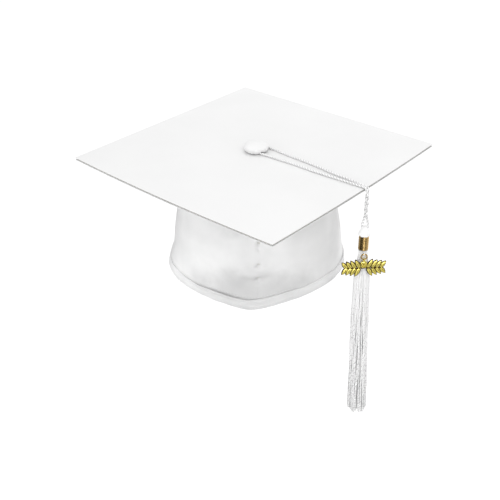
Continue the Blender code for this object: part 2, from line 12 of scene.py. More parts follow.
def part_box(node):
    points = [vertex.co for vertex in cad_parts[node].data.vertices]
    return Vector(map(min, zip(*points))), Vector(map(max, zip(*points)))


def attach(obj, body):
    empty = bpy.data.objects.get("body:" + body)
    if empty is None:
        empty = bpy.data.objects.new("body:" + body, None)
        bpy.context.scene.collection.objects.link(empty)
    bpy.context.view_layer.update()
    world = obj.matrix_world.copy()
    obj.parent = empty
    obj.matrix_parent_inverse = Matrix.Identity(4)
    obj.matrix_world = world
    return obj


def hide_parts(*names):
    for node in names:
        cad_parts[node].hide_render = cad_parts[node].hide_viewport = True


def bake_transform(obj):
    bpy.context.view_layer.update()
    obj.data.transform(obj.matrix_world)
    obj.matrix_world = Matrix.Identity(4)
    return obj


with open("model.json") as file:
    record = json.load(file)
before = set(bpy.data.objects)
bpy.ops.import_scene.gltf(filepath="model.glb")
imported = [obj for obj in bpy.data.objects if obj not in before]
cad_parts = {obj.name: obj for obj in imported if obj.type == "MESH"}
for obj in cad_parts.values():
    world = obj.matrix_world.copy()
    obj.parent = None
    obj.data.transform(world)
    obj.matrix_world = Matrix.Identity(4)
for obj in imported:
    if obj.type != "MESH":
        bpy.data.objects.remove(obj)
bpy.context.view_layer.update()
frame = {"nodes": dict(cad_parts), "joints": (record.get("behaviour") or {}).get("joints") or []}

# ---- places read from the frame

BOARD_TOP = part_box("board_top_cover")[1].z
BOARD_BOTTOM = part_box("board_top_cover")[0].z
BUTTON_LOW, BUTTON_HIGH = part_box("button_cover")
JOINTS = {joint["name"]: joint for joint in frame["joints"]}
CROSSING = Vector(JOINTS["cord_swing"]["pos_m"])
SWAY_PIVOT = Vector(JOINTS["tassel_sway"]["pos_m"])
CHARM_PIVOT = Vector(JOINTS["charm_swing"]["pos_m"])
TASSEL_AXIS = (CROSSING.x, CROSSING.y, 0)

# ---- the object's own sizes

BOARD_SIDE = 0.2413
BOW_LEFT = 0.003  # how far the front left and front right edges bow outwards
BOW_RIGHT = 0.002
EDGE_ROLL = 0.0009  # how far in from the outline the covers start to roll over
EDGE_DISTANCE = BOARD_SIDE / 2 + BOW_RIGHT
ALONG = Vector((1, -1, 0)).normalized()
ACROSS = Vector((1, 1, 0)).normalized()

CROWN_TOP = BOARD_BOTTOM - 0.0003
HALF_WIDTH_TOP = 0.0762
HALF_WIDTH_RIM = 0.0897
FRONT_RATIO = 0.82  # depth of the plan to its half width, in front and behind
BACK_RATIO = 1.04
FLARE = 1.9  # power with which the wall flares towards the lower edge
CROWN_TURN = Matrix.Rotation(-0.027, 3, "Z")
CROWN_SHIFT = 0.003
FRONT_POINT = 0.0134  # how far the lower edge dips in front, and how that fades
FRONT_POINT_SPREAD = 0.445
FRONT_POINT_ROUND = 0.14
POINT_TURN = -0.11
HEM_START = 0.93  # share of the crown's depth where the hem begins
CASING_EDGE = radians(140)  # angle where the hem ends and the gathered casing begins
FABRIC = 0.0006
FRONT_SEAM = -0.035  # angle of the crown's front seam
CROWN_PAINTED_LIGHT_AND_SHADE = (  # painted shade and light on the satin: middle, reach and factor
    # painted shade low in front over the hem, painted shadow under the board's front left edge,
    # painted shade on the right side and painted light on the left under the board
    ((-0.008, -0.074, 0.002), (0.07, 0.055, 0.028), 0.76),
    ((-0.018, -0.06, 0.1), (0.034, 0.03, 0.038), 0.76),
    ((0.076, -0.028, 0.045), (0.01, 0.02, 0.034), 0.88),
    ((-0.076, -0.02, 0.09), (0.018, 0.03, 0.028), 1.08))
# painted shade on the hem's front, below the crown's: middle, reach and factor
HEM_PAINTED_SHADE = (((-0.014, -0.074, 0.0), (0.066, 0.055, 0.028), 0.8),)

CORD_DIAMETER = 0.0021
CORD_REST = 0.0013  # height of the cord's centre over the board
CORD_SIDE = 0.0013  # each strand's centre from the crossing, across
PAIR_HELIX = 0.00095  # radius at which the two strands wind round each other
PAIR_TURNS = 1.875

PAIR_END = 0.0273  # depths below the board's top face
SPLIT_END = 0.0372
HEAD_END = 0.0455
FERRULE_END = 0.0605
TIE_DEPTH = 0.0613
EYE_DEPTH = 0.0622
TASSEL_END = 0.256
FERRULE_RIBS = 7
FERRULE_RADIUS = 0.0047

# ---- camera, light and floor

CAMERA_AZIMUTH = radians(-3.47)
CAMERA_ELEVATION = radians(32.14)
CAMERA_ROLL = radians(-0.7)
CAMERA_DISTANCE = 0.7417
CAMERA_ACROSS = 0.0058
CAMERA_UP = 0.0947
CAMERA_LENS = 56.16
FLOOR_DROP = 0.62  # floor below the tassel's end
FLOOR_REACH = 50.0
FLOOR_FADE = (4.5, 40.0)  # distances over which the floor turns into the horizon's tone
FLOOR_TONE = 0.97
FLOOR_BOUNCE = 0.7
SKY_LOW = 0.66  # sky brightness at the horizon
SKY_RISE = 0.62  # and how much more overhead
LIGHTS = (  # name, place, aim, size and power
    ("key", (-0.1, 1.15, 1.5), (0, 0, 0.1), 0.7, 2.3),
    ("front", (0.2, -1.44, 1.32), (0, 0, 0.1), 0.25, 3.0),
    ("left_fill", (-1.35, -0.85, 0.1), (0, 0, 0.05), 1.2, 8.4),
    ("right_fill", (0.6, -1.5, 0.3), (0, 0, 0.05), 1.2, 4.5))


def new_object(name, data):
    """An object in the scene's collection."""
    obj = bpy.data.objects.new(name, data)
    bpy.context.scene.collection.objects.link(obj)
    return obj


def add_camera():
    """The camera, placed relative to the middle of the board's top."""
    data = bpy.data.cameras.new("camera")
    data.lens = CAMERA_LENS
    data.sensor_width = 36
    data.clip_start = 0.01
    camera = new_object("camera", data)
    camera.matrix_world = (Matrix.Translation((0, 0, BOARD_TOP))
                           @ Matrix.Rotation(CAMERA_AZIMUTH, 4, "Z")
                           @ Matrix.Rotation(pi / 2 - CAMERA_ELEVATION, 4, "X")
                           @ Matrix.Rotation(CAMERA_ROLL, 4, "Z")
                           @ Matrix.Translation((-CAMERA_ACROSS, -CAMERA_UP, CAMERA_DISTANCE)))
    bpy.context.scene.camera = camera


def add_area(name, place, aim, size, power):
    """A soft square light; reflections show the patterned surroundings instead."""
    data = bpy.data.lights.new(name, "AREA")
    data.shape = "SQUARE"
    data.size = size
    data.energy = power
    light = new_object(name, data)
    light.visible_glossy = False
    light.location = place
    light.rotation_euler = (Vector(aim) - Vector(place)).to_track_quat("-Z", "Y").to_euler()


def add_node(tree, kind, *sources, **settings):
    """A shader node: its first inputs are linked or set from the sources, its properties
    from the settings, and a dict called inputs sets inputs by name."""
    node = tree.nodes.new("ShaderNode" + kind)
    named = settings.pop("inputs", {})
    for key, value in settings.items():
        setattr(node, key, value)
    for key, source in list(enumerate(sources)) + list(named.items()):
        if isinstance(source, bpy.types.NodeSocket):
            tree.links.new(source, node.inputs[key])
        else:
            node.inputs[key].default_value = source
    return node


def combine(tree, a, b, operation="ADD"):
    """Two values added, multiplied and so on."""
    return add_node(tree, "Math", a, b, operation=operation).outputs[0]


def map_range(tree, value, low, high, to_low=0.0, to_high=1.0, smooth=False):
    """A value from low to high, moved to between to_low and to_high."""
    limits = {"From Min": low, "From Max": high, "To Min": to_low, "To Max": to_high}
    shape = "SMOOTHSTEP" if smooth else "LINEAR"
    return add_node(tree, "MapRange", value, interpolation_type=shape,
                    inputs=limits).outputs["Result"]


GLOSS_STOPS = ((0.0, 0.8), (0.06, 0.1), (0.4, 0.1), (0.435, 0.5), (0.455, 0.8),
               (0.55, 0.8), (0.6, 0.45), (0.68, 0.8), (0.78, 1.5), (0.93, 1.6), (1.0, 0.8))
GLOSS_LOW = 0.15  # sines of elevation between which the bright side fades
GLOSS_HIGH = 0.4
GLOSS_CEILING = (2.0, 0.8)  # brightest at and below the low sine, and above the high one
GLINT = 8.0  # a brighter patch towards the camera's side
GLINT_HALF = 0.03  # its half width, as a share of the full circle
GLINT_RISE = 0.17  # sine of its elevation
GLINT_RISE_HALF = 0.16


def window(tree, value, middle, half):
    """1 where a value lies within half of the middle."""
    return add_node(tree, "Math", value, middle, half, operation="COMPARE").outputs[0]


def gloss_pattern(tree, vector):
    """Brightness by compass direction, for reflections only: dark on the front left, a
    bright strip towards the camera's side and a paler right, low down."""
    split = add_node(tree, "SeparateXYZ", vector).outputs
    away = combine(tree, split["Y"], -1.0, "MULTIPLY")
    angle = combine(tree, split["X"], away, "ARCTAN2")
    circle = map_range(tree, angle, -pi, pi)
    ramp = add_node(tree, "ValToRGB", circle)
    elements = ramp.color_ramp.elements
    while len(elements) < len(GLOSS_STOPS):
        elements.new(0.5)
    for element, (position, value) in zip(elements, GLOSS_STOPS):
        element.position = position
        element.color = (value, value, value, 1)
    ceiling = map_range(tree, split["Z"], GLOSS_LOW, GLOSS_HIGH, *GLOSS_CEILING)
    calm = combine(tree, ramp.outputs["Color"], ceiling, "MINIMUM")
    across = window(tree, circle, 0.5, GLINT_HALF)
    rise = window(tree, split["Z"], GLINT_RISE, GLINT_RISE_HALF)
    glint = combine(tree, combine(tree, across, rise, "MULTIPLY"), GLINT, "MULTIPLY")
    return combine(tree, calm, glint)


def add_world():
    """A soft white sky, brighter overhead, with its own pattern for reflections."""
    world = bpy.data.worlds.new("studio")
    bpy.context.scene.world = world
    world.use_nodes = True
    tree = world.node_tree
    tree.nodes.clear()
    where = add_node(tree, "TexCoord").outputs["Generated"]
    rise = combine(tree, add_node(tree, "SeparateXYZ", where).outputs["Z"], 0.0, "MAXIMUM")
    strength = combine(tree, combine(tree, rise, SKY_RISE, "MULTIPLY"), SKY_LOW)
    sky = add_node(tree, "Background", (1, 1, 1, 1), strength)
    gloss = add_node(tree, "Background", gloss_pattern(tree, where))
    glossy = add_node(tree, "LightPath").outputs["Is Glossy Ray"]
    mix = add_node(tree, "MixShader", glossy, sky.outputs[0], gloss.outputs[0])
    add_node(tree, "OutputWorld", mix.outputs[0])


def fade_to_horizon(tree, vector, surface):
    """The floor's own shading up close, turning into the sky's tone far away."""
    distance = add_node(tree, "VectorMath", vector, operation="LENGTH").outputs["Value"]
    nearness = combine(tree, 1.0, distance, "DIVIDE")
    fade = map_range(tree, nearness, 1 / FLOOR_FADE[0], 1 / FLOOR_FADE[1], smooth=True)
    horizon = add_node(tree, "Emission", inputs={"Strength": SKY_LOW})
    return add_node(tree, "MixShader", fade, surface, horizon.outputs[0]).outputs[0]


def floor_material():
    """Matt near-white.  It bounces less light than it shows, and in reflections it has
    the same pattern as the sky."""
    tree, shader = principled("floor", 1.0, specular=0.0)
    shader.inputs["Base Color"].default_value = (FLOOR_TONE, FLOOR_TONE, FLOOR_TONE, 1)
    where = add_node(tree, "NewGeometry").outputs["Position"]
    shift = add_node(tree, "VectorMath", where, SWAY_PIVOT, operation="SUBTRACT").outputs[0]
    glow = add_node(tree, "Emission", gloss_pattern(tree, shift))
    bounce = add_node(tree, "Emission", inputs={"Strength": FLOOR_BOUNCE})
    path = add_node(tree, "LightPath")
    surface = fade_to_horizon(tree, shift, shader.outputs[0])
    for ray, other in (("Is Diffuse Ray", bounce), ("Is Glossy Ray", glow)):
        surface = add_node(tree, "MixShader", path.outputs[ray], surface,
                           other.outputs[0]).outputs[0]
    tree.links.new(surface, tree.nodes["Material Output"].inputs["Surface"])


def add_floor():
    """A plain pale floor, well below the hanging tassel."""
    level = SWAY_PIVOT.z - TASSEL_END - FLOOR_DROP
    corners = ((-1, -1), (1, -1), (1, 1), (-1, 1))
    points = [(FLOOR_REACH * x, FLOOR_REACH * y, level) for x, y in corners]
    floor = add_mesh("floor", points, [(0, 1, 2, 3)], ["floor"], smooth=False)


# ---- mesh helpers

def in_metres(rows):
    """A table given in millimetres, in metres."""
    return [tuple(value / 1000 for value in row) for row in rows]


def add_mesh(name, verts, faces, looks, tones=None, smooth=True):
    """An object from points and faces; the tones choose each face's look."""
    mesh = bpy.data.meshes.new(name)
    mesh.from_pydata([tuple(v) for v in verts], [], [tuple(int(i) for i in f) for f in faces])
    for look in looks:
        mesh.materials.append(LOOKS[look])
    if tones is not None:
        mesh.polygons.foreach_set("material_index", np.array(tones, np.int32))
    mesh.polygons.foreach_set("use_smooth", np.full(len(mesh.polygons), smooth))
    mesh.update()
    return new_object(name, mesh)


def add_piece(name, mesh, looks, body, nodes=(), tones=None, place=(0, 0, 0)):
    """A piece of the visual model on its body and the CAD nodes it replaces."""
    piece = add_mesh(name, *mesh, looks, tones)
    piece.location = place
    if nodes:
        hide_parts(*nodes)
    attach(piece, body)
    return piece


def grid_faces(rows, columns, close_columns=False, start=0, flip=False):
    """Quads over a grid of points stored row by row."""
    index = start + np.arange(rows * columns).reshape(rows, columns)
    if close_columns:
        index = np.hstack([index, index[:, :1]])
    quads = np.stack([index[:-1, :-1], index[:-1, 1:], index[1:, 1:], index[1:, :-1]], axis=-1)
    return quads.reshape(-1, 4)[:, (0, 3, 2, 1) if flip else (0, 1, 2, 3)].tolist()


def grid_border(rows, columns):
    """The points round a grid's border, in order."""
    index = np.arange(rows * columns).reshape(rows, columns)
    return np.concatenate([index[0, :-1], index[:-1, -1], index[-1, :0:-1], index[:0:-1, 0]])


def loop_faces(first, second, flip=False):
    """Quads between two closed loops of points."""
    quads = zip(first, second, np.roll(second, -1), np.roll(first, -1))
    return [quad[::-1] if flip else quad for quad in quads]


def fan(base, steps, tip, flip=False):
    """Triangles between a ring of points and its tip."""
    pairs = [(base + j, base + (j + 1) % steps) for j in range(steps)]
    return [(b, a, tip) if flip else (a, b, tip) for a, b in pairs]


def joined(pieces):
    """Several (verts, faces) as one."""
    verts, faces, base = [], [], 0
    for piece_verts, piece_faces in pieces:
        verts.append(np.asarray(piece_verts, float))
        faces += [tuple(i + base for i in f) for f in piece_faces]
        base += len(piece_verts)
    return np.concatenate(verts), faces


def smooth_route(stops, spacing):
    """Evenly spaced points on a smooth curve through the stops (Catmull-Rom)."""
    stops = [np.array(s, float) for s in stops]
    ends = [2 * stops[0] - stops[1]] + stops + [2 * stops[-1] - stops[-2]]
    dense = []
    for a, b, c, d in zip(ends, ends[1:], ends[2:], ends[3:]):
        for t in np.linspace(0, 1, 24, endpoint=False):
            dense.append(0.5 * (2 * b + (c - a) * t + (2 * a - 5 * b + 4 * c - d) * t ** 2
                                + (3 * b - a - 3 * c + d) * t ** 3))
    dense = np.array(dense + [stops[-1]])
    lengths = along_lengths(dense)
    count = max(2, round(lengths[-1] / spacing) + 1)
    places = np.linspace(0, lengths[-1], count)
    return np.stack([np.interp(places, lengths, dense[:, k]) for k in range(3)], axis=1)


def along_lengths(points):
    """The distance along a line at each of its points."""
    steps = np.linalg.norm(np.diff(points, axis=0), axis=1)
    return np.concatenate([[0], np.cumsum(steps)])


def line_frames(points):
    """Two directions across a line at each point, carried along without twisting."""
    tangents = np.gradient(points, axis=0)
    tangents /= np.linalg.norm(tangents, axis=1)[:, None]
    first = np.cross(tangents[0], (0.31, 0.23, 0.92))
    first /= np.linalg.norm(first)
    sides = [first]
    for tangent in tangents[1:]:
        side = sides[-1] - tangent * (sides[-1] @ tangent)
        sides.append(side / np.linalg.norm(side))
    sides = np.array(sides)
    return sides, np.cross(tangents, sides)


def tube(points, radius, sides, twist=None, taper=None):
    """A closed tube along points.  The twist of a two-ply rope is its pitch, the depth of
    its grooves and its phase."""
    points = np.asarray(points, float)
    side, other = line_frames(points)
    lengths = along_lengths(points)
    angles = np.arange(sides) * 2 * pi / sides
    radii = np.full((len(points), sides), float(radius))
    if twist:
        pitch, groove, phase = twist
        turn = 2 * pi * (lengths / pitch + phase)
        lobes = np.abs(np.sin(angles[None, :] - turn[:, None]))
        radii *= 1 - groove * (1 - lobes) ** 2
    if taper:
        radii *= taper(lengths / lengths[-1])[:, None]
    ring = (np.cos(angles)[None, :, None] * side[:, None, :]
            + np.sin(angles)[None, :, None] * other[:, None, :])
    verts = (points[:, None, :] + ring * radii[:, :, None]).reshape(-1, 3)
    faces = grid_faces(len(points), sides, close_columns=True)
    faces += fan(0, sides, len(verts), flip=True)
    faces += fan(len(verts) - sides, sides, len(verts) + 1)
    return np.concatenate([verts, points[:1], points[-1:]]), faces


def groove_tones(lengths, sides, twist, width, faces):
    """For each face of a two-ply tube, 1 where it lies within a width of a groove, where the
    painted groove shade goes.
    """
    pitch, _, phase = twist
    turn = (lengths[:, None] / pitch + phase) * sides
    column = np.arange(sides)[None, :] + 0.5
    away = np.abs((column - turn + sides / 4) % (sides / 2) - sides / 4)
    tones = np.zeros(len(faces), int)
    tones[:away.size] = (away < width).ravel()
    return tones


def turned(profile, steps, shape=None):
    """A turned surface from (radius, height) points, the ends on the axis closed to a point.
    A shape function can move each point."""
    verts = []
    rows = [(r, z) for r, z in profile if r > 1e-7]
    for r, z in rows:
        for angle in np.arange(steps) * 2 * pi / steps:
            rr, zz = shape(angle, r, z) if shape else (r, z)
            verts.append((rr * cos(angle), rr * sin(angle), zz))
    faces = grid_faces(len(rows), steps, close_columns=True, flip=True)
    last = (len(rows) - 1) * steps
    for base, (r, z), flip in ((0, profile[0], False), (last, profile[-1], True)):
        if r <= 1e-7:
            faces += fan(base, steps, len(verts), flip)
            verts.append((0, 0, z))
    return np.array(verts), faces


def turned_ring(profile, steps):
    """A turned surface whose profile closes on itself, off the axis."""
    verts, faces = turned(profile, steps)
    first = np.arange(steps)
    return verts, faces + loop_faces(first + len(verts) - steps, first)


def ring_of_wire(major, minor, steps, sides):
    """A ring of round wire about Z."""
    angles = np.arange(sides) * 2 * pi / sides
    return turned_ring([(major + minor * cos(a), -minor * sin(a)) for a in angles],
                       steps)


def moved(piece, matrix):
    """A (verts, faces) piece, transformed."""
    verts, faces = piece
    rotation = np.array(matrix.to_3x3())
    return np.asarray(verts, float) @ rotation.T + np.array(matrix.translation), faces


# ---- materials

LOOKS = {}  # every material, by name


def principled(name, roughness, specular=0.5, metallic=0.0, sheen=0.0, sheen_roughness=0.5):
    """A new material's tree and its Principled shader."""
    LOOKS[name] = bpy.data.materials.new(name)
    LOOKS[name].use_nodes = True
    tree = LOOKS[name].node_tree
    shader = tree.nodes["Principled BSDF"]
    for key, value in (("Roughness", roughness), ("Specular IOR Level", specular),
                       ("Metallic", metallic), ("Sheen Weight", sheen),
                       ("Sheen Roughness", sheen_roughness)):
        shader.inputs[key].default_value = value
    return tree, shader


def object_coordinates(tree, scale=(1, 1, 1)):
    """Texture coordinates in metres, scaled."""
    where = add_node(tree, "TexCoord").outputs["Object"]
    return add_node(tree, "Mapping", where, inputs={"Scale": scale}).outputs["Vector"]


def wave(tree, vector, scale, direction):
    """A band texture across one direction."""
    return add_node(tree, "TexWave", vector, wave_type="BANDS", bands_direction=direction,
                    inputs={"Scale": scale}).outputs["Fac"]


def noise_texture(tree, vector, scale, detail=2.0):
    """A noise texture's value."""
    return add_node(tree, "TexNoise", vector,
                    inputs={"Scale": scale, "Detail": detail}).outputs["Fac"]


def add_bump(tree, shader, height, strength, distance):
    """Bump from a height value."""
    node = add_node(tree, "Bump", inputs={"Strength": strength, "Distance": distance,
                                          "Height": height})
    tree.links.new(node.outputs["Normal"], shader.inputs["Normal"])


def vary_colour(tree, shader, factor, dark, light):
    """Base colour between two near tones."""
    node = add_node(tree, "Mix", data_type="RGBA",
                    inputs={"A": (*dark, 1), "B": (*light, 1), "Factor": factor})
    tree.links.new(node.outputs["Result"], shader.inputs["Base Color"])


def cloth_material(name, dark, light, roughness, thread, weave_strength, sheen=0.25,
                   blotch=14.0):
    """Woven cloth: two crossed sets of threads, a soft sheen and faint cloudiness."""
    tree, shader = principled(name, roughness, 0.35, sheen=sheen, sheen_roughness=0.35)
    vector = object_coordinates(tree)
    scale = 1 / thread / 6.0
    warp = wave(tree, vector, scale, "X")
    weft = wave(tree, vector, scale, "Y")
    rise = wave(tree, vector, scale, "Z")
    height = combine(tree, combine(tree, warp, weft, "MULTIPLY"), rise)
    slub = noise_texture(tree, vector, 900.0)
    add_bump(tree, shader, combine(tree, height, slub), weave_strength, thread * 0.5)
    cloud = map_range(tree, noise_texture(tree, vector, blotch, 3.0), 0.34, 0.66)
    vary_colour(tree, shader, cloud, dark, light)


def painted_shading_patch(tree, where, middle, reach, factor):
    """Painted shade (a factor below 1) or painted light (above 1): a factor on the colour that
    holds round a middle point and is 1 further away, with a ragged edge."""
    towards = add_node(tree, "VectorMath", where, middle, operation="SUBTRACT").outputs[0]
    scaled = add_node(tree, "VectorMath", towards, reach, operation="DIVIDE").outputs[0]
    away = add_node(tree, "VectorMath", scaled, operation="LENGTH").outputs["Value"]
    ragged = combine(tree, noise_texture(tree, where, 60.0, 3.0), 0.9, "MULTIPLY")
    return map_range(tree, combine(tree, away, ragged), 0.8, 1.8, factor, 1.0, smooth=True)


def crown_material(name, dark, light, patches):
    """The crown's satin: cloudy, with painted shade where it tucks under over the hem, a painted
    shadow under the board's edge, painted shade towards the right side and painted light on the
    left under the board."""
    cloth_material(name, dark, light, 0.38, 0.00026, 0.16, blotch=24.0)
    tree = LOOKS[name].node_tree
    colour_in = tree.nodes["Principled BSDF"].inputs["Base Color"]
    plain = colour_in.links[0].from_socket
    where = add_node(tree, "TexCoord").outputs["Object"]
    factor = 1.0
    for patch in patches:
        factor = combine(tree, factor, painted_shading_patch(tree, where, *patch), "MULTIPLY")
    shade = add_node(tree, "VectorMath", plain, operation="SCALE", inputs={"Scale": factor})
    tree.links.new(shade.outputs["Vector"], colour_in)


def thread_material(name, dark, light, roughness, scale):
    """Rayon thread: fine fibres along it and a silky shine."""
    tree, shader = principled(name, roughness, 0.4, sheen=0.2)
    vector = object_coordinates(tree, (1, 1, 0.25))
    fibres = noise_texture(tree, vector, scale, 4.0)
    add_bump(tree, shader, fibres, 0.35, 0.0001)
    vary_colour(tree, shader, noise_texture(tree, vector, scale * 0.2), dark, light)


def metal_material(name, dark, light, roughness):
    """Plated metal with fine casting grain and small changes of tone."""
    tree, shader = principled(name, roughness, metallic=1.0)
    vector = object_coordinates(tree)
    grain = noise_texture(tree, vector, 2600.0, 4.0)
    add_bump(tree, shader, grain, 0.25, 0.00006)
    tone = noise_texture(tree, vector, 420.0, 3.0)
    vary_colour(tree, shader, tone, dark, light)
    spread = map_range(tree, tone, 0.0, 1.0, roughness * 0.7, roughness * 1.5)
    tree.links.new(spread, shader.inputs["Roughness"])


def card_material(name):
    """Grey pressed card: soft fibres."""
    tree, shader = principled(name, 0.9)
    fibres = noise_texture(tree, object_coordinates(tree), 700.0, 6.0)
    vary_colour(tree, shader, fibres, (0.36, 0.35, 0.33), (0.5, 0.49, 0.46))
    add_bump(tree, shader, fibres, 0.4, 0.0002)


def grey(level):
    """A neutral colour."""
    return (level, level, level)


CLOTHS = (  # name, dark, light, roughness, thread width, weave, sheen
    ("satin", grey(0.765), grey(0.785), 0.42, 0.00022, 0.1, 0.25),
    # the seam look is painted shade in the groove where the two covers meet round the board's
    # edge
    ("seam", grey(0.4), grey(0.52), 0.8, 0.00026, 0.2, 0.0),
    ("buckram", (0.66, 0.65, 0.62), (0.78, 0.77, 0.74), 0.85, 0.0007, 0.6, 0.0),
    ("tape", grey(0.74), grey(0.82), 0.7, 0.0004, 0.4, 0.05),
    ("elastic", grey(0.72), grey(0.8), 0.8, 0.0008, 0.5, 0.0))
THREADS = (  # name, dark, light, roughness, scale of the fibres
    ("cord", grey(0.8), grey(0.88), 0.45, 4000.0),
    # painted shade in the cord's twist grooves
    ("cord_groove", grey(0.24), grey(0.34), 0.7, 4000.0),
    ("fringe", grey(0.89), grey(0.94), 0.5, 3000.0),
    # painted shade in the fringe yarns' twist grooves
    ("fringe_groove", grey(0.3), grey(0.44), 0.7, 3000.0),
    ("stitch", grey(0.74), grey(0.82), 0.5, 5000.0))
METALS = (  # name, dark, light, roughness
    ("gold", (0.74, 0.61, 0.12), (0.88, 0.77, 0.22), 0.24),
    ("old_gold", (0.44, 0.28, 0.1), (0.64, 0.46, 0.2), 0.2),
    ("patina", (0.06, 0.035, 0.006), (0.17, 0.11, 0.025), 0.45),
    ("tin", (0.5, 0.5, 0.51), (0.66, 0.66, 0.67), 0.35))


def make_materials():
    """Every material, into LOOKS."""
    for make, rows in ((cloth_material, CLOTHS), (thread_material, THREADS),
                       (metal_material, METALS)):
        for row in rows:
            make(*row)
    # the crown's and hem's satin carry painted light and shade patches
    crown_material("satin_crown", grey(0.78), grey(0.87), CROWN_PAINTED_LIGHT_AND_SHADE)
    crown_material("hem", grey(0.79), grey(0.84), HEM_PAINTED_SHADE)
    card_material("card")
    floor_material()


# ---- board

def board_point(p, q):
    """A point of the board's plan from its own square coordinates, -1 to 1."""
    half = BOARD_SIDE / 2 - EDGE_ROLL
    along = half * p + BOW_RIGHT * (1 - q * q) * ((1 + p) / 2) ** 3
    across = half * q - BOW_LEFT * (1 - p * p) * ((1 - q) / 2) ** 3
    return ALONG * along + ACROSS * across


def cover_height(x, y, side):
    """Small unevenness of a cover: faint waves, and on top a pucker round the button."""
    height = 0.00022 * noise.noise(Vector((x * 22, y * 22, side * 3.0)))
    height += 0.00008 * noise.noise(Vector((x * 75, y * 75, side * 7.0)))
    if side > 0:
        pucker = bump_at(hypot(x, y), 0.0135, 0.005)
        height -= 0.00014 * pucker * (1 + 0.35 * cos(11 * atan2(y, x)))
    return height


HALF_EDGE = (BOARD_TOP - BOARD_BOTTOM) / 2
EDGE_ROLL_SHAPE = in_metres((  # how a cover rolls over the edge: outward, and down
    (0.4, 0.02), (0.72, 0.14), (0.86, 0.34), (0.8, 0.56), (0.5, 0.74), (-0.2, 0.9),
    (-1, HALF_EDGE * 1000 - 0.3), (-1.2, HALF_EDGE * 1000 - 0.02)))
CORNER_STRETCH = 1.3  # the corners roll further out


def cover_mesh(side):
    """One fabric cover; side is 1 on top and -1 underneath.  It rolls over the card's edge to
    the seam half way down; the faces turned in towards the seam carry painted shade."""
    cells = 72
    level = BOARD_TOP if side > 0 else BOARD_BOTTOM
    steps = np.linspace(-1, 1, cells + 1)
    verts = []
    for q in steps:
        for p in steps:
            spot = board_point(p, q)
            fade = min(1.0, 8 * (1 - max(abs(p), abs(q))))
            rise = cover_height(spot.x, spot.y, side) * fade
            verts.append((spot.x, spot.y, level + min(rise, 0.0002) * side))
    width = cells + 1
    faces = grid_faces(width, width, flip=side < 0)
    tones = [0] * len(faces)
    previous = grid_border(width, width)
    ring = np.array([verts[i] for i in previous])
    turn = np.roll(ring, -1, axis=0) - np.roll(ring, 1, axis=0)
    outward = np.stack([turn[:, 1], -turn[:, 0], np.zeros(len(turn))], axis=1)
    outward /= np.linalg.norm(outward, axis=1)[:, None]
    stretch = np.ones(len(ring))
    stretch[::cells] = CORNER_STRETCH
    for out, drop in EDGE_ROLL_SHAPE:
        loop = ring + outward * (out * stretch)[:, None]
        loop[:, 2] = level - side * drop
        ripple = [0.00006 * noise.noise(Vector(v) * 160) for v in loop]
        loop += outward * np.array(ripple)[:, None]
        current = np.arange(len(verts), len(verts) + len(loop))
        verts += [tuple(v) for v in loop]
        faces += loop_faces(previous, current, flip=side < 0)
        # the faces turned in towards the seam take the seam look: painted shade in the edge
        # groove
        tones += [1 if out < 0.0004 else 0] * len(loop)
        previous = current
    return (verts, faces), tones


def add_board():
    """The two covers, and the card between them."""
    for side, name, node in ((1, "cover_top", "board_top_cover"),
                             (-1, "cover_bottom", "board_bottom_cover")):
        mesh, tones = cover_mesh(side)
        cover = add_piece(name, mesh, ["satin", "seam"], "cap", [node], tones)
    paint("board_core", "card")
    add_edge_stitches()


def edge_place(side, t):
    """A point on one of the board's four edges."""
    return board_point(*((t, -1), (1, t), (-t, 1), (-1, -t))[side])


def add_edge_stitches():
    """Small stitches that close the two covers along the board's edge seam."""
    pieces = []
    middle = (BOARD_TOP + BOARD_BOTTOM) / 2
    count = 62
    step = 0.0022 / (BOARD_SIDE / 2)
    for side, outward in enumerate((-ACROSS, ALONG, ACROSS, -ALONG)):
        out = outward * 0.00055
        for i in range(count):
            t = -1 + 2 * (i + 0.5) / count
            a = np.array(edge_place(side, t) + out) + (0, 0, middle + 0.0003)
            b = np.array(edge_place(side, t + step) + out) + (0, 0, middle - 0.0003)
            mid = (a + b) / 2 + np.array(out) * 0.3
            pieces.append(tube([a, mid, b], 0.00014, 5))
    add_piece("board_edge_stitches", joined(pieces), ["stitch"], "cap")


def paint(node, look):
    """Give a CAD node that shows, or lies inside, its finished material."""
    data = frame["nodes"][node].data
    data.materials.clear()
    data.materials.append(LOOKS[look])


# ---- crown

def rim_height(phi):
    """Height of the crown's lower edge; phi is 0 at the front, positive to +X."""
    away = hypot(phi - POINT_TURN, FRONT_POINT_ROUND) - FRONT_POINT_ROUND
    return -FRONT_POINT * exp(-away / FRONT_POINT_SPREAD)


def crown_point(phi, depth, offset=0.0):
    """A point on the crown, depth 0 at the board and 1 at the lower edge."""
    half_width = HALF_WIDTH_TOP + (HALF_WIDTH_RIM - HALF_WIDTH_TOP) * max(depth, 0.0) ** FLARE
    reach = half_width * (FRONT_RATIO if cos(phi) > 0 else BACK_RATIO)
    across = (half_width + offset) * sin(phi) + CROWN_SHIFT * (1 - depth)
    along = -(reach + offset) * cos(phi)
    height = CROWN_TOP + (rim_height(seam_distance(phi, 0.0)) - CROWN_TOP) * depth
    return CROWN_TURN @ Vector((across, along, height))


def seam_distance(phi, at):
    """Signed angle from a seam or another place round the head."""
    return atan2(sin(phi - at), cos(phi - at))


def bump_at(value, middle, width):
    """A smooth bump of height 1."""
    return exp(-((value - middle) / width) ** 2)


# angle, width, depth down the wall, how far in
CROWN_DENTS = ((-0.3, 0.26, 0.42, 0.005), (1.15, 0.22, 0.4, 0.0035))
# depth down the wall, how far in
SEAM_PULLS = ((0.43, 0.0028), (0.47, 0.0034), (0.51, 0.0018), (0.64, 0.0038), (0.755, 0.0024))


